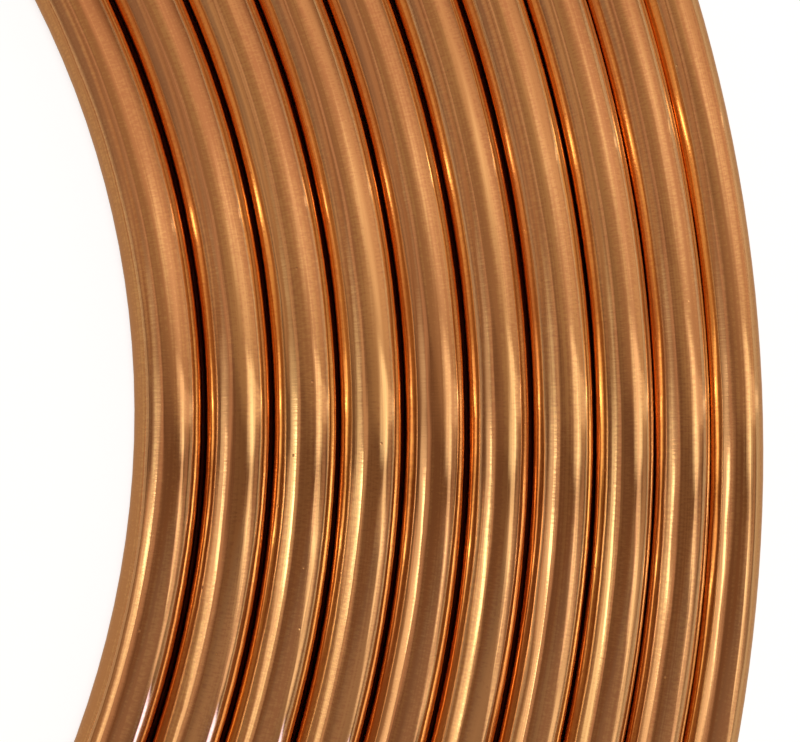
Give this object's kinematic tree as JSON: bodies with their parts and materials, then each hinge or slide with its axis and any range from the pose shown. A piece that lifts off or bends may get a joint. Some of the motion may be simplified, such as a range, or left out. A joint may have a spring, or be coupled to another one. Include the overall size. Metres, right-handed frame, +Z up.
{
  "type": "copper tube coil",
  "caption": "Flat spiral coil of soft round copper tube, one unbroken length wound in a single layer of touching turns around an open eye, both ends cut square and open.",
  "frame": {"origin": "on the floor, under the middle of the coil's overall width and depth, 4.6 mm from the axis that the tube is wound round", "axes": "+Z straight up, square to the plane of the coil; seen from above the tube runs out from the eye counter-clockwise, from its inner end on the -X side to its outer end at -Y, where its mouth faces +X"},
  "size_m": [0.6078, 0.6142, 0.0159],
  "materials": {
    "copper": "bright drawn copper, semi-gloss, with fine lines along the tube"
  },
  "bodies": {
    "root": {"copper_tube": "copper"}
  },
  "joints": []
}
